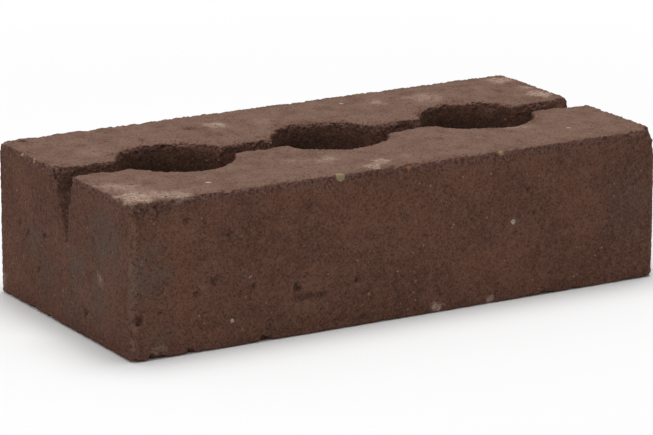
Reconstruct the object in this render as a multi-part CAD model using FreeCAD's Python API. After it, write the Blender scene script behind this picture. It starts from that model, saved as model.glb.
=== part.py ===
"""Hollow concrete facing brick: one vibro-pressed block, 250 x 120 x 65 mm.

Three draughted holes run through it from the top bed to the bottom bed, in one row along its length.
The bar that carried their cores left a groove along the whole top bed, through all three holes, and a
tapering notch under the groove in each end face.

Frame, in millimetres: +X along the length, +Y across the width, +Z up. The origin is the centre of the
bottom bed.
"""

import FreeCAD
import Part

import math
import os

# Overall block
LENGTH = 250.0
WIDTH = 120.0
HEIGHT = 65.0
CORNER_RADIUS = 3.0  # the four upright corners
TOP_ARRIS_RADIUS = 0.8  # the edge round the top bed
BOTTOM_ARRIS_RADIUS = 1.2  # the edge round the bottom bed

# Holes, in one row along X and centred on the block
HOLE_COUNT = 3
HOLE_PITCH = 73.0
HOLE_TOP_DIAMETER = 48.0
HOLE_BOTTOM_DIAMETER = 45.0
HOLE_TOP_RIM_RADIUS = 0.8
HOLE_BOTTOM_RIM_RADIUS = 0.6

# Groove of the core bar, along X in the top bed
GROOVE_TOP_WIDTH = 12.4
GROOVE_FLOOR_WIDTH = 11.4
GROOVE_DEPTH = 11.0
GROOVE_LIP_RADIUS = 0.8
GROOVE_FLOOR_RADIUS = 1.5

# Notch in each end face, running down from the top bed to its tip
NOTCH_MOUTH_WIDTH = 15.5
NOTCH_TIP_WIDTH = 1.6
NOTCH_TIP_DROP = 30.0  # from the top bed to the tip
NOTCH_REACH = 12.0  # from the end face in to where the notch has run out into the groove

OVERCUT = 5.0  # how far a cutter runs past the face it opens through


def edges_where(solid, wanted):
    """The edges of solid whose middle point passes wanted."""
    middles = [(edge, edge.valueAt((edge.FirstParameter + edge.LastParameter) / 2)) for edge in solid.Edges]
    return [edge for edge, middle in middles if wanted(middle)]


def line(start, end):
    """A straight edge."""
    return Part.LineSegment(start, end).toShape()


def rim_arc(wall, bed, up):
    """The quarter arc that rounds a rim, from the end of the wall out to the bed.

    wall is where the arc leaves the wall and bed is where it meets the bed, both in one upright plane, and
    up is 1 for the top bed and -1 for the bottom one.
    """
    radius = abs(bed.z - wall.z)
    outward = (bed - wall) - FreeCAD.Vector(0, 0, up * radius)
    share = 1 - math.sqrt(0.5)
    middle = wall + outward * share + FreeCAD.Vector(0, 0, up * radius * (1 - share))
    return Part.Arc(wall, middle, bed).toShape()


def block():
    """The block with its upright corners and the edges of both beds rounded."""
    solid = Part.makeBox(LENGTH, WIDTH, HEIGHT, FreeCAD.Vector(-LENGTH / 2, -WIDTH / 2, 0))
    middle = HEIGHT / 2
    solid = solid.makeFillet(CORNER_RADIUS, edges_where(solid, lambda p: abs(p.z - middle) < middle / 2))
    solid = solid.makeFillet(TOP_ARRIS_RADIUS, edges_where(solid, lambda p: p.z > middle * 3 / 2))
    return solid.makeFillet(BOTTOM_ARRIS_RADIUS, edges_where(solid, lambda p: p.z < middle / 2))


def hole_cutter(x):
    """The draughted core of the hole at x, with both rims flared, run past both beds."""

    def at(radius, z):
        return FreeCAD.Vector(x + radius, 0, z)

    top = HOLE_TOP_DIAMETER / 2
    bottom = HOLE_BOTTOM_DIAMETER / 2
    top_wall = at(top, HEIGHT - HOLE_TOP_RIM_RADIUS)
    top_bed = at(top + HOLE_TOP_RIM_RADIUS, HEIGHT)
    top_end = at(top + HOLE_TOP_RIM_RADIUS, HEIGHT + OVERCUT)
    bottom_wall = at(bottom, HOLE_BOTTOM_RIM_RADIUS)
    bottom_bed = at(bottom + HOLE_BOTTOM_RIM_RADIUS, 0)
    bottom_end = at(bottom + HOLE_BOTTOM_RIM_RADIUS, -OVERCUT)
    outline = [
        line(at(0, -OVERCUT), bottom_end),
        line(bottom_end, bottom_bed),
        rim_arc(bottom_wall, bottom_bed, -1),
        line(bottom_wall, top_wall),
        rim_arc(top_wall, top_bed, 1),
        line(top_bed, top_end),
        line(top_end, at(0, HEIGHT + OVERCUT)),
        line(at(0, HEIGHT + OVERCUT), at(0, -OVERCUT)),
    ]
    return Part.Face(Part.Wire(outline)).revolve(at(0, 0), FreeCAD.Vector(0, 0, 1), 360)


def groove_cutter():
    """The core bar: tapered, with flared lips and rounded floor corners, run past both end faces."""
    start = -LENGTH / 2 - OVERCUT
    floor = HEIGHT - GROOVE_DEPTH

    def side_points(side):
        """From over the bed down to the floor, on the side 1 for +Y and -1 for -Y."""
        half_top = GROOVE_TOP_WIDTH / 2
        places = [
            (half_top + GROOVE_LIP_RADIUS, HEIGHT + OVERCUT),
            (half_top + GROOVE_LIP_RADIUS, HEIGHT),
            (half_top, HEIGHT - GROOVE_LIP_RADIUS),
            (GROOVE_FLOOR_WIDTH / 2, floor),
        ]
        return [FreeCAD.Vector(start, side * y, z) for y, z in places]

    outline = []
    for side in (1, -1):
        over, bed, wall, foot = side_points(side)
        outline += [line(over, bed), rim_arc(wall, bed, 1), line(wall, foot)]
    outline.append(line(side_points(1)[3], side_points(-1)[3]))
    outline.append(line(side_points(1)[0], side_points(-1)[0]))
    bar = Part.Face(Part.Wire(Part.__sortEdges__(outline))).extrude(FreeCAD.Vector(LENGTH + 2 * OVERCUT, 0, 0))
    corners = edges_where(bar, lambda p: abs(p.x) < LENGTH / 4 and p.z < floor + OVERCUT / 10)
    return bar.makeFillet(GROOVE_FLOOR_RADIUS, corners)


def notch_section(side, reach):
    """The notch's upright trapezium at a reach in from the end face, run past the top bed.

    side is 1 for the +X end and -1 for the -X one, and a reach below zero lies outside the block.
    """
    share = reach / NOTCH_REACH
    tip_at_face = HEIGHT - NOTCH_TIP_DROP
    tip = tip_at_face + (HEIGHT - GROOVE_DEPTH - tip_at_face) * share
    half_tip = NOTCH_TIP_WIDTH / 2
    half_bed = (NOTCH_MOUTH_WIDTH + (GROOVE_TOP_WIDTH - NOTCH_MOUTH_WIDTH) * share) / 2
    half_over = half_bed + (half_bed - half_tip) / (HEIGHT - tip) * OVERCUT
    x = side * (LENGTH / 2 - reach)
    corners = [(-half_tip, tip), (half_tip, tip), (half_over, HEIGHT + OVERCUT), (-half_over, HEIGHT + OVERCUT)]
    return Part.makePolygon([FreeCAD.Vector(x, y, z) for y, z in corners + corners[:1]])


def notch_cutter(side):
    """The notch of one end, 1 for +X and -1 for -X: it shrinks from the end face into the groove."""
    return Part.makeLoft([notch_section(side, -OVERCUT), notch_section(side, NOTCH_REACH)], True, True)


def hole_places():
    """The X of each hole's axis."""
    return [(number - (HOLE_COUNT - 1) / 2) * HOLE_PITCH for number in range(HOLE_COUNT)]


def brick():
    """The finished brick, one solid."""
    holes = [hole_cutter(x) for x in hole_places()]
    return block().cut(groove_cutter().fuse([notch_cutter(1), notch_cutter(-1)] + holes)).removeSplitter()


def main():
    os.makedirs("parts", exist_ok=True)
    shape = brick()
    print("valid", shape.isValid(), "solids", len(shape.Solids), "volume cm3", round(shape.Volume / 1000, 1))
    shape.Solids[0].exportStep("parts/brick.step")


main()
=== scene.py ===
"""Hollow concrete facing brick: its worn, pitted, sandy surface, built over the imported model.

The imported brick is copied, divided into even faces and weathered: its arrises crumble, its rims are torn,
grains have fallen out of it and it carries the chips of one real brick. Relief finer than a face is bump.

Lengths in the relief are in millimetres, in the model's own frame: +X along the brick, +Y across it and away
from its shown side, +Z up, with the origin at the centre of the bottom bed.
"""

import itertools
import math

import bpy
import numpy as np
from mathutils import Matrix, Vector


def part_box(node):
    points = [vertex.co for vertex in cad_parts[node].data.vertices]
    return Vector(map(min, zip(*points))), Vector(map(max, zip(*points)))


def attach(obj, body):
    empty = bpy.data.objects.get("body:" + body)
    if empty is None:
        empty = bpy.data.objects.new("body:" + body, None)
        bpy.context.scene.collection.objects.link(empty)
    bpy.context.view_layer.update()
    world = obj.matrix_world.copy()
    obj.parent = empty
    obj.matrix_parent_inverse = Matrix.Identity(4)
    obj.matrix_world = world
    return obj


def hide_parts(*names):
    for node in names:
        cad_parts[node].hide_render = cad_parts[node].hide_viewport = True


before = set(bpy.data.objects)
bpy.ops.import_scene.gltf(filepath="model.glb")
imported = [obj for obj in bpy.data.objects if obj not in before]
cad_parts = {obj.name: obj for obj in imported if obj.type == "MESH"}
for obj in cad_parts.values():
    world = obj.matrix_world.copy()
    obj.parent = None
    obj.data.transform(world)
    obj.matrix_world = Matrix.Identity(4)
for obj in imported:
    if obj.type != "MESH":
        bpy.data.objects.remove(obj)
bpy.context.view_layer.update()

NODE = "brick"
MM = 0.001
LOW, HIGH = (np.array(corner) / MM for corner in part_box(NODE))
HEIGHT = HIGH[2] - LOW[2]
LEFT, RIGHT = LOW[0], HIGH[0]
FRONT, BACK = LOW[1], HIGH[1]

# The mesh
VOXEL = 0.55  # size of the even faces that the relief is cut in
MOST_TRIANGLES = 196000
PLAIN_LEVELS = 4  # steps in how readily a point may be merged away
PLAIN_FACTOR = 0.01  # how much those steps count against the shape

SEED = 4100  # everything random starts from it

# Rounds of smoothing, each over the neighbours of a point
NEAR_ROUNDS = 17
FAR_ROUNDS = 90
RIM_ROUNDS = 6
TEAR_ROUNDS = 9
CREASE_ROUNDS = 4

# Random small bites: how many, from and to which width, and from and to which depth as a share of the width
RIM_BITES = (240, (1.5, 5.5), (0.07, 0.2))
FACE_BITES = (240, (1.2, 3.2), (0.1, 0.24))
INNER_RIM_SHALLOWER = 0.6

# Marks of this brick: where it is pale with bloom, grey with smudges and in one place a painted sheen, and dark
# with stains and painted shade in pits, each (x, y, z, radius, strength). Marks elsewhere than on the shown sides
# are invented, in the same manner.
BLOOM_SPOTS = (
    (-117, -50, HEIGHT, 11, 0.62),
    (-114, -36, HEIGHT, 10, 0.34),
    (-119, -28, HEIGHT, 6, 0.30),
    (-102, -55, HEIGHT, 10, 0.36),
    (-35.5, -32, HEIGHT, 5, 0.30),
    (-24, -38, HEIGHT, 6, 0.30),
    (-34.7, -43.7, HEIGHT, 3, 0.45),
    (-4.7, -50.3, HEIGHT, 6, 0.60),
    (-12, -55, HEIGHT, 5, 0.50),
    (-20, -36, HEIGHT, 4.5, 0.36),
    (8, -48, HEIGHT, 4, 0.30),
    (-12, 34, HEIGHT, 6, 0.24),
    (24, 52, HEIGHT, 5, 0.26),
    (-32.2, 39.7, HEIGHT, 5.5, 0.75),
    (-100, 22, HEIGHT, 10, 0.15),
    (48, 40, HEIGHT, 6, 0.35),
    (70, 38, HEIGHT, 11, 0.30),
    (102, 41, HEIGHT, 5, 0.30),
    (117, 50, HEIGHT, 8, 0.45),
    (117, 18, HEIGHT, 7, 0.60),
    (119, 32, HEIGHT, 5, 0.35),
    (75, -27, HEIGHT, 9, 0.22),
    (-113, FRONT, 4, 5, 0.16),
    (16, FRONT, 2.5, 4, 0.40),
    (42, FRONT, 2, 3, 0.35),
    (LEFT, -32.5, 28, 2.6, 0.40),
    (LEFT, 57, 6, 5, 0.25),
    (-60, BACK, 50, 5, 0.35),
    (80, BACK, 12, 7, 0.35),
    (RIGHT, 35, 8, 6, 0.35),
    (40, -40, 0, 12, 0.30),
    (-90, 40, 0, 14, 0.30),
)
SMUDGE_AND_SHEEN_SPOTS = (
    (LEFT, -38, 44, 19, 0.75),
    (LEFT, -13, 27, 12, 0.90),
    (LEFT, -30, 20, 13, 0.70),
    (LEFT, 26, 31, 8, 0.75),
    (LEFT, 14, 17, 11, 0.50),
    (LEFT, -8, 11, 10, 0.50),
    (-120, FRONT, 36, 16, 0.65),
    (-112, FRONT, 10, 9, 0.30),
    # Painted sheen: this grey patch at the right of the front stands for a bluish sheen, not a mark.
    (112, FRONT, 35, 19, 0.35),
    (-110, 28, HEIGHT, 8, 0.30),
    (60, BACK, 40, 14, 0.40),
    (-70, BACK, 20, 10, 0.35),
    (RIGHT, -20, 30, 12, 0.40),
)
# Dark spots: all but the three under the top left of the front lie on chips and pits and paint shade into them;
# those three are dark marks.
STAIN_AND_PIT_SHADE_SPOTS = (
    (-81.7, FRONT, 46.3, 2.0, 0.85),
    (-121, FRONT, 61, 5, 0.40),
    (-111, FRONT, 61.5, 6, 0.35),
    (-98, FRONT, 62, 5, 0.30),
    (-121.7, FRONT, 17.2, 3.0, 0.55),
    (-45.5, 40, HEIGHT, 4.5, 0.40),
    (-88, FRONT, 28.8, 3.5, 0.45),
    (-95.5, FRONT, 24.7, 2.5, 0.40),
    (105, 31, HEIGHT, 2.5, 0.45),
    (LEFT, -19.5, 11.2, 2.6, 0.50),
    (LEFT, 16, 34, 3.0, 0.40),
    (LEFT, 32, 32, 2.2, 0.40),
)

# How far the left notch's tip stands towards the front
NOTCH_LEAN = 2.8

# Chips and pits of this brick: each (x, y, z, the way out, width, depth)
CHIPS = (
    (LEFT, BACK, HEIGHT, (-1, 1, 0.9), 15, 3.4),
    (LEFT, 7.6, HEIGHT, (-1, -1, 0.3), 16, 3.6),
    (LEFT, -7.6, HEIGHT, (-1, 1, 0.8), 4, 0.8),
    (LEFT, FRONT, HEIGHT, (-1, -1, 0.9), 9, 1.4),
    (RIGHT, FRONT, HEIGHT, (1, -0.7, 0.7), 19, 5.6),
    (RIGHT, FRONT, 57, (1, -1, 0), 10, 2.8),
    (RIGHT, BACK, HEIGHT, (1, 1, 0.8), 15, 3.0),
    (RIGHT, 8, HEIGHT, (1, -1, 0.8), 7, 1.3),
    (RIGHT, -8, HEIGHT, (1, 1, 0.8), 8, 1.5),
    (-115.5, FRONT, 60.5, (0, -1, 0.1), 7.5, 1.7),
    (-107, FRONT, 61.5, (0, -1, 0.3), 4.5, 1.1),
    (-100, FRONT, 54.7, (0, -1, 0), 4, 1.2),
    (-81.7, FRONT, 46.3, (0, -1, 0), 2.8, 1.1),
    (-88, FRONT, 28.8, (0, -1, 0), 4.5, 1.0),
    (-95.5, FRONT, 24.7, (0, -1, 0), 3.4, 0.9),
    (-69.7, FRONT, 23.8, (0, -1, 0), 3.4, 0.9),
    (-49.7, FRONT, 20.5, (0, -1, 0), 5, 1.3),
    (-22, FRONT, 19.7, (0, -1, 0), 3.8, 0.9),
    (53.8, FRONT, 28.8, (0, -1, 0), 3.2, 1.1),
    (-18.8, FRONT, 3.8, (0, -1, 0), 3.4, 1.0),
    (-121.7, FRONT, 17.2, (0, -1, 0), 4.6, 1.3),
    (LEFT, FRONT, 0, (-1, -1, -0.9), 10, 2.6),
    (LEFT, BACK, 0, (-1, 1, -0.8), 8, 1.8),
    (-114, FRONT, 0, (0, -1, -1), 12, 2.4),
    (-99, FRONT, 0, (0, -1, -1), 9, 2.3),
    (-64.7, FRONT, 0, (0, -1, -1), 11, 2.5),
    (71, FRONT, 0, (0, -1, -1), 8, 2.0),
    (LEFT, 23, 19, (-1, 0, 0), 3.6, 1.2),
    (LEFT, -19.5, 11.2, (-1, 0, 0), 4.6, 1.2),
    (LEFT, 16, 34, (-1, 0, 0), 3.6, 0.9),
    (LEFT, 32, 32, (-1, 0, 0), 3.0, 0.9),
    (LEFT, 29, 0, (-1, 0, -1), 9, 1.5),
    (LEFT, -40, 0, (-1, 0, -1), 7, 1.1),
    (47.5, 6.5, HEIGHT, (0.3, -0.8, 0.6), 6, 1.5),
    (45, -6.5, HEIGHT, (0.2, 0.7, 0.8), 4.5, 1.1),
    (-96.5, 6.5, HEIGHT, (0.3, -0.8, 0.6), 5, 1.2),
    (-25.5, 6.8, HEIGHT, (0.4, -0.8, 0.6), 6, 1.3),
    (-115.5, 54.7, HEIGHT, (0, 0, 1), 4.6, 1.4),
    (-45.5, 40, HEIGHT, (0, 0, 1), 6, 1.0),
    (-43, 37, HEIGHT, (0, 0, 1), 3.4, 0.9),
    (105, 31, HEIGHT, (0, 0, 1), 3.4, 1.0),
    (97, 41, HEIGHT, (0, 0, 1), 2.8, 0.9),
    (68.7, -33.7, HEIGHT, (0, 0, 1), 4, 1.2),
    (-114.7, -46.5, HEIGHT, (0, 0, 1), 3, 1.0),
    (-70, BACK, HEIGHT, (0, 1, 1), 7, 1.2),
    (35, BACK, HEIGHT, (0, 1, 1), 6, 1.0),
    (-20, BACK, 0, (0, 1, -1), 9, 1.5),
    (40, BACK, 30, (0, 1, 0), 4.5, 1.2),
    (-85, BACK, 44, (0, 1, 0), 3.6, 1.0),
    (RIGHT, 30, 22, (1, 0, 0), 4.4, 1.2),
    (RIGHT, -28, 40, (1, 0, 0), 3.4, 1.0),
    (RIGHT, 45, 0, (1, 0, -1), 9, 1.5),
)

# Pebbles standing in pits: each (x, y, z, the way out, width, height)
PEBBLES = (
    (-115.7, FRONT + 1.2, 59.6, (0, -1, 0), 6.4, 1.6),
    (40.6, BACK - 0.8, 30.4, (0, 1, 0), 3.2, 0.9),
)

# A scratch along the front, as a row of bites
SCRATCH_FROM = -50
SCRATCH_TO = -37
SCRATCH_Y = FRONT + 0.4
SCRATCH_Z = 16
SCRATCH_WIDTH = 2.6
SCRATCH_DEPTH = 0.45
SCRATCH_STEPS = 12

# Surroundings, in metres and watts
FLOOR_REACH = 6.0
FLOOR_GREY = (0.86, 0.86, 0.86, 1)
FLOOR_FADES_FROM = 0.2  # from the middle, where the floor begins to fade into the white background
FLOOR_FADES_TO = 0.6
WORLD_LIGHT = 0.43
LAMPS = (  # name, place, size, power
    ("overhead", (0.1, 0.1, 1.6), 0.9, 19),
    ("left", (-1.4, -0.5, 0.9), 1.0, 5),
)
CAMERA_PLACE = (-0.76081, -1.2963, 0.43212)
CAMERA_YAW = 30.362  # degrees from +Y towards +X
CAMERA_PITCH = 15.016  # degrees down
CAMERA_LENS = 203.9  # millimetres
CAMERA_SENSOR = 36.0


# ---------------------------------------------------------------- noise


def gradient_noise(points, cell, seed, stretch=(1, 1, 1)):
    """Smooth noise, mostly from -1 to 1, with bumps about a cell wide, times stretch along X, Y and Z."""
    generator = np.random.default_rng(seed)
    scaled = (points - (LOW - 10)) / (cell * np.array(stretch))
    base = np.floor(scaled).astype(np.int64)
    part = scaled - base
    slopes = generator.normal(size=(*(base.max(axis=0) + 2), 3)).astype(np.float32)
    slopes /= np.linalg.norm(slopes, axis=-1, keepdims=True)
    fade = part**3 * (part * (part * 6 - 15) + 10)
    total = np.zeros(len(points))
    for corner in itertools.product((0, 1), repeat=3):
        place = base + corner
        slope = slopes[place[:, 0], place[:, 1], place[:, 2]]
        share = np.prod(np.where(corner, fade, 1 - fade), axis=1)
        total += share * np.sum((part - corner) * slope, axis=1)
    return total * 1.7


def fractal_noise(points, cell, seed, octaves=3, stretch=(1, 1, 1)):
    """Gradient noise with finer and fainter layers added."""
    total = np.zeros(len(points))
    for octave in range(octaves):
        total += gradient_noise(points, cell / 2**octave, seed + octave, stretch) / 2**octave
    return total


def smoothstep(low, high, value):
    """0 below low, 1 above high and smooth between; high may be the lower of the two."""
    share = np.clip((value - low) / (high - low), 0, 1)
    return share * share * (3 - 2 * share)


# ---------------------------------------------------------------- mesh helpers


def link(thing):
    """The object, put into the scene."""
    bpy.context.scene.collection.objects.link(thing)
    return thing


def applied(thing):
    """The object with its modifiers applied and gone."""
    graph = bpy.context.evaluated_depsgraph_get()
    mesh = bpy.data.meshes.new_from_object(thing.evaluated_get(graph))
    thing.modifiers.clear()
    old = thing.data
    thing.data = mesh
    bpy.data.meshes.remove(old)
    return thing


def even_copy(node, name):
    """A copy of a CAD node in even square faces."""
    piece = link(bpy.data.objects.new(name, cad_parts[node].data.copy()))
    modifier = piece.modifiers.new("even_faces", "REMESH")
    modifier.mode = "VOXEL"
    modifier.voxel_size = VOXEL * MM
    modifier.adaptivity = 0
    return applied(piece)


def thinned(piece, most, plain):
    """The piece merged down to the most triangles it may have, first where plain, a weight per point, is high."""
    group = piece.vertex_groups.new(name="plain")
    for level in range(1, PLAIN_LEVELS + 1):
        chosen = np.flatnonzero(np.round(plain * PLAIN_LEVELS) == level)
        group.add(chosen.tolist(), level / PLAIN_LEVELS, "REPLACE")
    modifier = piece.modifiers.new("thinned", "DECIMATE")
    modifier.ratio = most / sum(len(face.vertices) - 2 for face in piece.data.polygons)
    modifier.vertex_group = group.name
    modifier.vertex_group_factor = PLAIN_FACTOR
    applied(piece)
    piece.vertex_groups.clear()
    set_points(piece.data, np.clip(read_vectors(piece.data.vertices, "co") / MM, LOW, HIGH))
    return piece


def read_vectors(items, key):
    """A vector of each item, as rows of an array."""
    values = np.empty(len(items) * 3, np.float32)
    items.foreach_get(key, values)
    return values.reshape(-1, 3).astype(float)


def points_and_normals(mesh):
    """The mesh's points, in millimetres, and their normals."""
    return read_vectors(mesh.vertices, "co") / MM, read_vectors(mesh.vertices, "normal")


def set_points(mesh, points):
    """Moves the mesh's points to these, in millimetres."""
    mesh.vertices.foreach_set("co", (points * MM).astype(np.float32).ravel())
    mesh.update()


def set_mask(mesh, name, values):
    """Stores a value per point, 0 to 1, that the material reads by name."""
    layer = mesh.attributes.new(name, "FLOAT", "POINT")
    layer.data.foreach_set("value", np.clip(values, 0, 1).astype(np.float32))


def neighbour_mean(mesh, values, rounds):
    """Values per point, each replaced by the mean over its neighbours, so many rounds over."""
    ends = np.empty(len(mesh.edges) * 2, np.int64)
    mesh.edges.foreach_get("vertices", ends)
    ends = ends.reshape(-1, 2)
    one, other = np.concatenate([ends, ends[:, ::-1]]).T
    count = np.bincount(one, minlength=len(values))
    values = values.copy()
    for _ in range(rounds):
        for axis in range(values.shape[1]):
            values[:, axis] = np.bincount(one, weights=values[other, axis], minlength=len(values)) / count
    return values


def convexity(points, normals, smoothed):
    """How far each point stands out of the smoothed surface, in millimetres."""
    return np.sum((points - smoothed) * normals, axis=1)


# ---------------------------------------------------------------- relief


def torn_band(points, normals):
    """1 on upright surfaces just under the top bed, where the mould's lid tears the mix."""
    depth = HIGH[2] - points[:, 2]
    ragged = 3.8 + 1.8 * gradient_noise(points, 9, SEED + 20)
    upright = smoothstep(0.95, 0.5, np.abs(normals[:, 2]))
    return upright * smoothstep(ragged + 1.0, ragged - 1.4, depth)


def inner_rims(points):
    """1 at the rims of the holes, the groove and the notches, 0 at the arrises round the block."""
    inset = np.min(np.minimum(points - LOW, HIGH - points)[:, :2], axis=1)
    return np.maximum(smoothstep(5, 10, inset), smoothstep(15, 11, np.abs(points[:, 1])))


def bite(points, at, outward, width, depth, rough):
    """A shallow dent in the surface at a point, so wide and so deep, as a ball would leave it.

    rough is noise per point that makes the dent uneven.
    """
    radius = (width**2 / 4 + depth**2) / (2 * depth)
    at, outward = np.array(at, float), np.array(outward, float)
    centre = at + outward / np.linalg.norm(outward) * (radius - depth)
    close = np.flatnonzero(np.max(np.abs(points - at), axis=1) < width)
    offset = points[close] - centre
    distance = np.linalg.norm(offset, axis=1)
    reach = radius + rough[close] * min(0.45 * depth, 0.9)
    inside = distance < reach
    push = reach[inside] / np.maximum(distance[inside], 1e-6)
    points[close[inside]] = centre + offset[inside] * push[:, None]


def bulge(points, at, outward, width, height):
    """A grain standing out of the surface at a point, so wide and so high."""
    distance = np.linalg.norm(points - np.array(at, float), axis=1)
    dome = np.clip(1 - (2 * distance / width) ** 2, 0, 1)
    points += (height * dome)[:, None] * np.array(outward, float)


def lean_notch(points):
    """Leans the notch of the left end towards the front as it goes down, as its core stood in the mould."""
    down = smoothstep(62, 34, points[:, 2]) * NOTCH_LEAN
    beside = smoothstep(22, 6, np.abs(points[:, 1] + 1.5)) * smoothstep(LEFT + 18, LEFT + 10, points[:, 0])
    inwards = smoothstep(HIGH[2], HIGH[2] - 4, points[:, 2]) * smoothstep(18, 32, points[:, 2])
    points[:, 1] -= down * beside * inwards


def fine_relief(points, normals):
    """How deep the waves, lumps, grains and mould streaks lie, in millimetres."""
    upright = smoothstep(0.75, 0.35, np.abs(normals[:, 2]))
    relief = 0.06 + 0.10 * gradient_noise(points, 24, SEED + 50) + 0.10 * fractal_noise(points, 5, SEED + 60)
    relief += 0.07 * fractal_noise(points, 2, SEED + 70, octaves=2)
    relief += 0.05 * upright * gradient_noise(points, 2.4, SEED + 80, stretch=(1, 1, 12))
    return np.maximum(relief, 0)


def random_bites(points, normals, chosen, kind, shallower, rough, generator):
    """Bites at random among the chosen points, by kind, and shallower by a share per point."""
    count, widths, depths = kind
    for index in generator.choice(chosen, count, replace=False):
        width = generator.uniform(*widths)
        depth = width * generator.uniform(*depths) * (1 - shallower[index])
        bite(points, points[index], normals[index], width, depth, rough)


def own_marks(points, rough):
    """The chips, the pebbles and the scratch of this brick."""
    for *place, outward, width, depth in CHIPS:
        bite(points, place, outward, width, depth, rough)
    for *place, outward, width, height in PEBBLES:
        bulge(points, place, outward, width, height)
    for step in range(SCRATCH_STEPS):
        x = SCRATCH_FROM + (SCRATCH_TO - SCRATCH_FROM) * step / (SCRATCH_STEPS - 1)
        bite(points, (x, SCRATCH_Y, SCRATCH_Z), (0, -1, 0), SCRATCH_WIDTH, SCRATCH_DEPTH, rough)


def weathered(piece):
    """Cuts the relief into the piece, inside the model's box, and returns how plain each of its points is."""
    mesh = piece.data
    points, normals = points_and_normals(mesh)
    before = points.copy()
    near = neighbour_mean(mesh, points, NEAR_ROUNDS)
    far = neighbour_mean(mesh, near, FAR_ROUNDS)
    edge = smoothstep(0.05, 0.35, convexity(points, normals, near))
    lean_notch(points)
    start = points.copy()
    near += points - before
    far += points - before

    # The arrises crumble towards the smoothed surface, and the inner rims further in places
    top = smoothstep(HIGH[2] - 6, HIGH[2] - 2, start[:, 2])
    inner = inner_rims(start)
    crumble = np.clip(0.15 + 0.25 * top + 0.55 * fractal_noise(start, 6, SEED + 30), 0, 1)
    points += (edge * crumble)[:, None] * (near - start)
    stand_out = convexity(start, normals, far)
    rounding = np.clip(0.15 * top + 0.5 * gradient_noise(start, 12, SEED + 40), 0, 1) * inner
    points += (smoothstep(0.15, 0.9, stand_out) * rounding)[:, None] * (far - start)

    # The torn band recedes, and crumbs are missing from it and from the rims
    torn = torn_band(start, normals)
    rim = np.maximum(torn, smoothstep(0.10, 0.45, stand_out) * (0.55 + 0.45 * top))
    rim = neighbour_mean(mesh, rim[:, None], RIM_ROUNDS)[:, 0]
    tears = torn * (1 - 0.7 * inner) * (0.05 + 0.75 * np.abs(fractal_noise(start, 3.4, SEED + 90)))
    points -= neighbour_mean(mesh, normals * tears[:, None], TEAR_ROUNDS)
    crumbs = rim * (0.22 + 0.40 * fractal_noise(start, 1.4, SEED + 95, octaves=2))
    points -= normals * (fine_relief(start, normals) + np.maximum(crumbs, 0))[:, None]

    rough = 1.2 * gradient_noise(start, 2.0, SEED + 100)
    generator = np.random.default_rng(SEED + 110)
    rims = np.flatnonzero(edge > 0.8)
    random_bites(points, normals, rims, RIM_BITES, INNER_RIM_SHALLOWER * inner, rough, generator)
    faces = np.flatnonzero(edge < 0.1)
    random_bites(points, normals, faces, FACE_BITES, np.zeros(len(points)), rough, generator)
    own_marks(points, rough)
    set_points(mesh, np.clip(points, LOW, HIGH))
    return 1 - np.maximum(rim, edge)


# ---------------------------------------------------------------- masks for the material


def near_spots(points, spots, seed):
    """How strongly each point lies in one of the spots: (x, y, z, radius, strength), with ragged edges.

    A wide spot on a face of the block keeps to it.
    """
    ragged = 0.35 * fractal_noise(points, 3.5, seed)
    total = np.zeros(len(points))
    for *place, radius, strength in spots:
        across = (np.isclose(place, LOW) | np.isclose(place, HIGH)) & (radius > 3)
        distance = np.linalg.norm((points - place) * np.where(across, 3, 1), axis=1) / radius
        total = np.maximum(total, strength * smoothstep(1.1, 0.25, distance + ragged))
    return total


def paint_masks(piece):
    """Stores what the material needs to know about each point."""
    mesh = piece.data
    points, normals = points_and_normals(mesh)
    relief = convexity(points, normals, neighbour_mean(mesh, points, CREASE_ROUNDS))
    # Painted shade: darker where the surface dips below its neighbours.
    set_mask(mesh, "painted_hollow_shade", smoothstep(0.0, -0.22, relief))
    # Painted highlight: paler where the surface stands out of its neighbours.
    set_mask(mesh, "painted_ridge_highlight", smoothstep(0.02, 0.25, relief))
    set_mask(mesh, "torn", torn_band(points, normals))
    under_top = smoothstep(HIGH[2] - 3, HIGH[2] - 1, points[:, 2])
    # The top bed, which the material paints dusty and with a sheen.
    set_mask(mesh, "bed", smoothstep(0.55, 0.9, normals[:, 2]) * under_top)
    # Painted shade: the holes, the groove and the notch darken with their depth under the top, as shade falls in
    # them.
    inset = np.min([points - LOW, HIGH - points], axis=(0, 2))
    depth = HIGH[2] - points[:, 2]
    notch = smoothstep(16, 12, np.abs(points[:, 1])) * smoothstep(LEFT + 16, LEFT + 12, points[:, 0])
    shade = 0.62 * smoothstep(4, 15, depth) * (1 - notch) + notch * smoothstep(0.5, 4, depth)
    set_mask(mesh, "inside", smoothstep(0.6, 1.8, inset) * shade)
    corner = np.hypot(*np.minimum(points - LOW, HIGH - points)[:, :2].T)
    set_mask(mesh, "worn", smoothstep(3.6, 1.2, corner))
    set_mask(mesh, "bloom", near_spots(points, BLOOM_SPOTS, SEED + 200))
    # Grey smudges, and a painted sheen at the right of the front.
    set_mask(mesh, "smudge_and_sheen", near_spots(points, SMUDGE_AND_SHEEN_SPOTS, SEED + 210))
    # Dark stains, and painted shade in the pits.
    set_mask(mesh, "stain_and_pit_shade", near_spots(points, STAIN_AND_PIT_SHADE_SPOTS, SEED + 220))
    return piece


# ---------------------------------------------------------------- material

BROWN_DARK = (0.097, 0.044, 0.029)
BROWN = (0.133, 0.060, 0.039)
BROWN_PALE = (0.176, 0.093, 0.066)
# Dusty pale grey of the top bed with a painted sheen in it, also given to the worn upright arrises.
BED_DUST_AND_SHEEN = (0.215, 0.133, 0.101)
TORN_RED = (0.178, 0.090, 0.070)
# This colour paints shade in the holes, dips and pits, and is also the colour of dark marks, crumbs and sand
# grains.
SHADE_AND_DARK_MARKS = (0.036, 0.021, 0.016)
BLOOM = (0.420, 0.300, 0.235)
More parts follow.
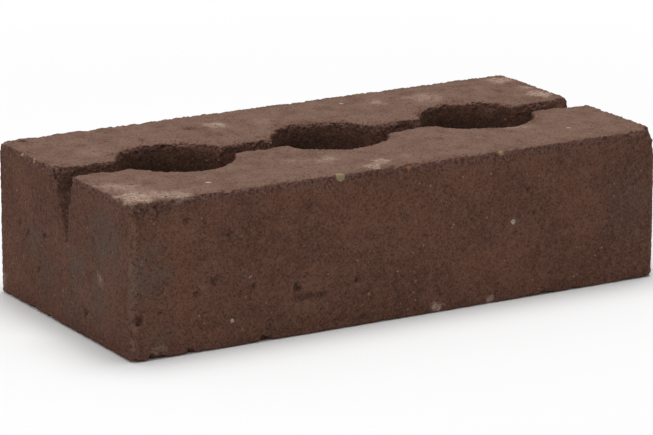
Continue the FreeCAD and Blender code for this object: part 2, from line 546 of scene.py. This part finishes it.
# Grey of the smudges and of the painted sheen.
SMUDGE_AND_SHEEN = (0.095, 0.075, 0.060)
GRAIN_DARK = (0.030, 0.020, 0.018)
GRAIN_PALE = (0.270, 0.185, 0.145)
GRAIN_RUST = (0.260, 0.115, 0.055)


FLECK_WHITE = (0.400, 0.345, 0.300)
FLECK_YELLOW = (0.310, 0.255, 0.140)
FLECK_RUST = (0.290, 0.120, 0.055)
NOISE_TURN = (0.5, 0.7, 0.3)  # radians, so that no face lies along the noise's lattice


# Flecks of this brick, each (x, y, z, radius, colour)
FLECKS = (
    (33, 45.8, HEIGHT, 1.3, FLECK_WHITE),
    (-82.2, -45, HEIGHT, 1.4, FLECK_WHITE),
    (92.8, -41, HEIGHT, 1.2, FLECK_WHITE),
    (-80, FRONT, 11.2, 1.1, FLECK_WHITE),
    (53, FRONT, 33.8, 1.3, FLECK_WHITE),
    (LEFT, 37.5, 64.2, 1.3, FLECK_YELLOW),
    (LEFT, 26, 64, 1.5, FLECK_YELLOW),
    (-29.7, FRONT, 63.8, 2.3, FLECK_YELLOW),
    (47, FRONT, 64, 1.6, FLECK_YELLOW),
    (2.5, FRONT, 63.3, 1.5, FLECK_RUST),
    (100.7, -35.7, HEIGHT, 1.3, FLECK_RUST),
    (95, -53.7, HEIGHT, 1.2, FLECK_RUST),
    (-30, BACK, 48, 1.4, FLECK_RUST),
    (-96, BACK, 30, 1.2, FLECK_WHITE),
    (RIGHT, 14, 18, 1.3, FLECK_RUST),
)


class Shading:
    """Adds nodes to a material's tree. Every size is in millimetres, in the model's own frame."""

    def __init__(self, material):
        material.use_nodes = True
        self.nodes = material.node_tree.nodes
        self.links = material.node_tree.links
        self.nodes.clear()
        place = self.nodes.new("ShaderNodeTexCoord").outputs["Object"]
        self.straight = self.vector("SCALE", place, 1 / MM)
        turned = self.nodes.new("ShaderNodeVectorRotate")
        turned.rotation_type = "EULER_XYZ"
        turned.inputs["Rotation"].default_value = NOISE_TURN
        self.put(self.straight, turned.inputs["Vector"])
        self.place = turned.outputs["Vector"]

    def put(self, value, socket):
        """Gives a socket a number, a colour or another node's output."""
        if isinstance(value, bpy.types.NodeSocket):
            self.links.new(value, socket)
        elif isinstance(value, tuple) and len(socket.default_value) == 4:
            socket.default_value = (*value, 1)
        else:
            socket.default_value = value

    def vector(self, operation, value, scale):
        node = self.nodes.new("ShaderNodeVectorMath")
        node.operation = operation
        self.put(value, node.inputs[0])
        self.put(scale, node.inputs["Scale"])
        return node.outputs["Vector"]

    def stretched(self, stretch):
        """The place, drawn out along X, Y and Z."""
        node = self.nodes.new("ShaderNodeVectorMath")
        node.operation = "DIVIDE"
        self.put(self.straight, node.inputs[0])
        self.put(stretch, node.inputs[1])
        return node.outputs["Vector"]

    def distance(self, place):
        """How far the surface is from a place."""
        node = self.nodes.new("ShaderNodeVectorMath")
        node.operation = "DISTANCE"
        self.put(self.straight, node.inputs[0])
        self.put(place, node.inputs[1])
        return node.outputs["Value"]

    def noise(self, size, detail=3.0, roughness=0.55, place=None):
        node = self.nodes.new("ShaderNodeTexNoise")
        self.put(place or self.place, node.inputs["Vector"])
        self.put(1 / size, node.inputs["Scale"])
        self.put(detail, node.inputs["Detail"])
        self.put(roughness, node.inputs["Roughness"])
        return node.outputs["Fac"]

    def cells(self, size):
        """Distance from the middle of a random cell, in cells, and the cell's random colour."""
        node = self.nodes.new("ShaderNodeTexVoronoi")
        self.put(self.place, node.inputs["Vector"])
        self.put(1 / size, node.inputs["Scale"])
        return node.outputs["Distance"], node.outputs["Color"]

    def mask(self, name):
        node = self.nodes.new("ShaderNodeAttribute")
        node.attribute_name = name
        return node.outputs["Fac"]

    def math(self, operation, one, other):
        node = self.nodes.new("ShaderNodeMath")
        node.operation = operation
        self.put(one, node.inputs[0])
        self.put(other, node.inputs[1])
        return node.outputs["Value"]

    def product(self, one, other):
        return self.math("MULTIPLY", one, other)

    def step(self, value, low, high, top=1.0):
        """0 below low and top above high, smooth between."""
        node = self.nodes.new("ShaderNodeMapRange")
        node.interpolation_type = "SMOOTHSTEP"
        self.put(value, node.inputs["Value"])
        self.put(low, node.inputs["From Min"])
        self.put(high, node.inputs["From Max"])
        self.put(top, node.inputs["To Max"])
        return node.outputs["Result"]

    def mix(self, share, one, other, blend="MIX"):
        node = self.nodes.new("ShaderNodeMix")
        node.data_type = "RGBA"
        node.blend_type = blend
        self.put(share, node.inputs["Factor"])
        self.put(one, node.inputs[6])
        self.put(other, node.inputs[7])
        return node.outputs[2]

    def channel(self, colour, index):
        node = self.nodes.new("ShaderNodeSeparateColor")
        self.put(colour, node.inputs["Color"])
        return node.outputs[index]


def grains(shading, colour, size, share, kind, tint):
    """Colour with grains of one kind: share is how many of the cells hold one."""
    distance, cell = shading.cells(size)
    chosen = shading.step(shading.channel(cell, kind), 1 - share, 1 - share + 0.02)
    spread = shading.channel(cell, (kind + 1) % 3)
    reach = shading.product(spread, 0.3)
    spot = shading.step(shading.math("SUBTRACT", reach, distance), -0.06, 0.08)
    return shading.mix(shading.product(chosen, spot), colour, tint)


def flecked(shading, colour):
    """Colour with the flecks of this brick."""
    ragged = shading.product(shading.noise(1.4, 3, 0.7), 1.6)
    for x, y, z, radius, tint in FLECKS:
        distance = shading.math("ADD", shading.distance((x, y, z)), ragged)
        colour = shading.mix(shading.step(distance, radius + 0.85, radius + 0.30), colour, tint)
    return colour


def brick_colour(shading):
    """Mottled brown, dusty with a painted sheen on the top bed, redder where torn, pale where bloomed, with
    painted shade in dips, holes and pits and a painted highlight where it stands out.
    """
    mask = shading.mask
    both = shading.product
    broad = shading.step(shading.noise(26, 5), 0.36, 0.66)
    fine = shading.step(shading.noise(2.6, 4, 0.65), 0.42, 0.72)
    sand = shading.noise(0.95, 2, 0.7)
    colour = shading.mix(broad, BROWN_DARK, BROWN)
    colour = shading.mix(both(fine, 0.55), colour, BROWN_PALE)
    streak = shading.step(shading.noise(3.2, 3, 0.5, shading.stretched((1.0, 1.0, 14.0))), 0.45, 0.75)
    colour = shading.mix(both(streak, 0.22), colour, BROWN_DARK)
    # The top bed paler and greyer: dusty in patches, with a painted sheen over all of it.
    dust_and_sheen = shading.step(shading.noise(9, 5, 0.65), 0.25, 0.62)
    colour = shading.mix(both(mask("bed"), shading.math("ADD", both(dust_and_sheen, 0.6), 0.3)), colour, BED_DUST_AND_SHEEN)
    colour = shading.mix(both(mask("torn"), 0.7), colour, TORN_RED)
    crumbs = shading.step(shading.noise(1.3, 3, 0.65), 0.52, 0.40)
    colour = shading.mix(both(both(mask("torn"), crumbs), 0.6), colour, SHADE_AND_DARK_MARKS)
    # Grey smudges, and a painted sheen at the right of the front.
    smudge_and_sheen_patches = shading.step(shading.noise(5, 4, 0.7), 0.32, 0.58)
    colour = shading.mix(both(mask("smudge_and_sheen"), smudge_and_sheen_patches), colour, SMUDGE_AND_SHEEN)
    worn = shading.step(shading.noise(3, 4, 0.7), 0.38, 0.60)
    colour = shading.mix(both(both(mask("worn"), worn), 0.45), colour, BED_DUST_AND_SHEEN)
    # Painted highlight where the relief stands out.
    colour = shading.mix(both(mask("painted_ridge_highlight"), 0.35), colour, BROWN_PALE)
    bloomed = shading.step(shading.noise(2.2, 4, 0.75), 0.36, 0.54)
    strong = shading.step(mask("bloom"), 0.0, 0.52)
    solid = shading.step(mask("bloom"), 0.76, 0.92)
    colour = shading.mix(both(strong, shading.math("MAXIMUM", bloomed, solid)), colour, BLOOM)
    # Painted shade in the dips of the relief.
    colour = shading.mix(both(mask("painted_hollow_shade"), 0.45), colour, SHADE_AND_DARK_MARKS)
    # Dark stains, and painted shade in the pits.
    colour = shading.mix(mask("stain_and_pit_shade"), colour, SHADE_AND_DARK_MARKS)
    colour = grains(shading, colour, 1.5, 0.20, 0, GRAIN_DARK)
    colour = grains(shading, colour, 1.6, 0.08, 1, GRAIN_PALE)
    colour = grains(shading, colour, 2.6, 0.035, 2, GRAIN_RUST)
    # Painted shade in the holes, the groove and the notch.
    colour = shading.mix(both(mask("inside"), 0.53), colour, SHADE_AND_DARK_MARKS)
    colour = flecked(shading, colour)
    colour = shading.mix(shading.step(sand, 0.50, 0.72, 0.6), colour, BROWN_PALE)
    return shading.mix(shading.step(sand, 0.52, 0.28, 0.75), colour, SHADE_AND_DARK_MARKS)


def brick_height(shading):
    """The relief finer than the mesh, in millimetres."""
    sand = shading.product(shading.noise(0.9, 3, 0.65), 0.48)
    lumps = shading.product(shading.noise(2.4, 3, 0.6), 0.26)
    distance, cell = shading.cells(2.2)
    held = shading.step(shading.channel(cell, 0), 0.62, 0.66)
    hole = shading.product(held, shading.step(distance, 0.34, 0.16, 0.28))
    torn = shading.product(shading.mask("torn"), shading.noise(1.4, 3, 0.65))
    height = shading.math("ADD", sand, lumps)
    height = shading.math("SUBTRACT", height, hole)
    return shading.math("ADD", height, shading.product(torn, 0.9))


def concrete():
    material = bpy.data.materials.new("brown_pressed_concrete")
    shading = Shading(material)
    shader = shading.nodes.new("ShaderNodeBsdfPrincipled")
    shader.inputs["Roughness"].default_value = 0.95
    shader.inputs["Specular IOR Level"].default_value = 0.1
    shading.put(brick_colour(shading), shader.inputs["Base Color"])
    bump = shading.nodes.new("ShaderNodeBump")
    bump.inputs["Strength"].default_value = 1.0
    bump.inputs["Distance"].default_value = MM
    shading.put(brick_height(shading), bump.inputs["Height"])
    shading.put(bump.outputs["Normal"], shader.inputs["Normal"])
    out = shading.nodes.new("ShaderNodeOutputMaterial")
    shading.put(shader.outputs["BSDF"], out.inputs["Surface"])
    return material


# ---------------------------------------------------------------- surroundings


def floor():
    """A pale floor that takes the brick's shadow and, for the camera alone, fades into the white background."""
    mesh = bpy.data.meshes.new("floor")
    corners = [(x * FLOOR_REACH, y * FLOOR_REACH, 0) for x, y in ((-1, -1), (1, -1), (1, 1), (-1, 1))]
    mesh.from_pydata(corners, [], [(0, 1, 2, 3)])
    thing = link(bpy.data.objects.new("floor", mesh))
    material = bpy.data.materials.new("pale_floor")
    material.use_nodes = True
    tree = material.node_tree
    nodes, links = tree.nodes, tree.links
    nodes.clear()
    out = nodes.new("ShaderNodeOutputMaterial")
    mix = nodes.new("ShaderNodeMixShader")
    lit = nodes.new("ShaderNodeBsdfDiffuse")
    lit.inputs["Color"].default_value = FLOOR_GREY
    white = nodes.new("ShaderNodeEmission")
    where = nodes.new("ShaderNodeTexCoord")
    length = nodes.new("ShaderNodeVectorMath")
    length.operation = "LENGTH"
    fade = nodes.new("ShaderNodeMapRange")
    fade.interpolation_type = "SMOOTHSTEP"
    fade.inputs["From Min"].default_value = FLOOR_FADES_FROM
    fade.inputs["From Max"].default_value = FLOOR_FADES_TO
    ray = nodes.new("ShaderNodeLightPath")
    both = nodes.new("ShaderNodeMath")
    both.operation = "MULTIPLY"
    links.new(where.outputs["Object"], length.inputs[0])
    links.new(length.outputs["Value"], fade.inputs["Value"])
    links.new(fade.outputs["Result"], both.inputs[0])
    links.new(ray.outputs["Is Camera Ray"], both.inputs[1])
    links.new(both.outputs["Value"], mix.inputs["Fac"])
    links.new(lit.outputs["BSDF"], mix.inputs[1])
    links.new(white.outputs["Emission"], mix.inputs[2])
    links.new(mix.outputs["Shader"], out.inputs["Surface"])
    mesh.materials.append(material)


def surroundings():
    """A world that lights evenly and looks white to the camera."""
    world = bpy.data.worlds.new("studio")
    bpy.context.scene.world = world
    world.use_nodes = True
    tree = world.node_tree
    background = tree.nodes["Background"]
    ray = tree.nodes.new("ShaderNodeLightPath")
    strength = tree.nodes.new("ShaderNodeMapRange")
    strength.inputs["To Min"].default_value = WORLD_LIGHT
    strength.inputs["To Max"].default_value = 1.0
    tree.links.new(ray.outputs["Is Camera Ray"], strength.inputs["Value"])
    tree.links.new(strength.outputs["Result"], background.inputs["Strength"])
    background.inputs["Color"].default_value = (1, 1, 1, 1)


def lamp(name, place, size, power):
    """A square area light turned to the origin."""
    data = bpy.data.lights.new(name, "AREA")
    data.size = size
    data.energy = power
    thing = link(bpy.data.objects.new(name, data))
    thing.location = place
    thing.rotation_euler = (-Vector(place)).to_track_quat("-Z", "Y").to_euler()


def camera():
    data = bpy.data.cameras.new("camera")
    data.sensor_width = CAMERA_SENSOR
    data.lens = CAMERA_LENS
    thing = link(bpy.data.objects.new("camera", data))
    thing.location = CAMERA_PLACE
    thing.rotation_euler = (math.pi / 2 - math.radians(CAMERA_PITCH), 0, -math.radians(CAMERA_YAW))
    data.clip_start = 0.05
    data.clip_end = 50
    bpy.context.scene.camera = thing


# ---------------------------------------------------------------- the scene


def main():
    piece = even_copy(NODE, "weathered_brick")
    thinned(piece, MOST_TRIANGLES, weathered(piece))
    piece.data.shade_smooth()
    paint_masks(piece)
    piece.data.materials.clear()
    piece.data.materials.append(concrete())
    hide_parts(NODE)
    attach(piece, "root")
    floor()
    surroundings()
    for values in LAMPS:
        lamp(*values)
    camera()
    bpy.context.scene.view_settings.view_transform = "Standard"


main()
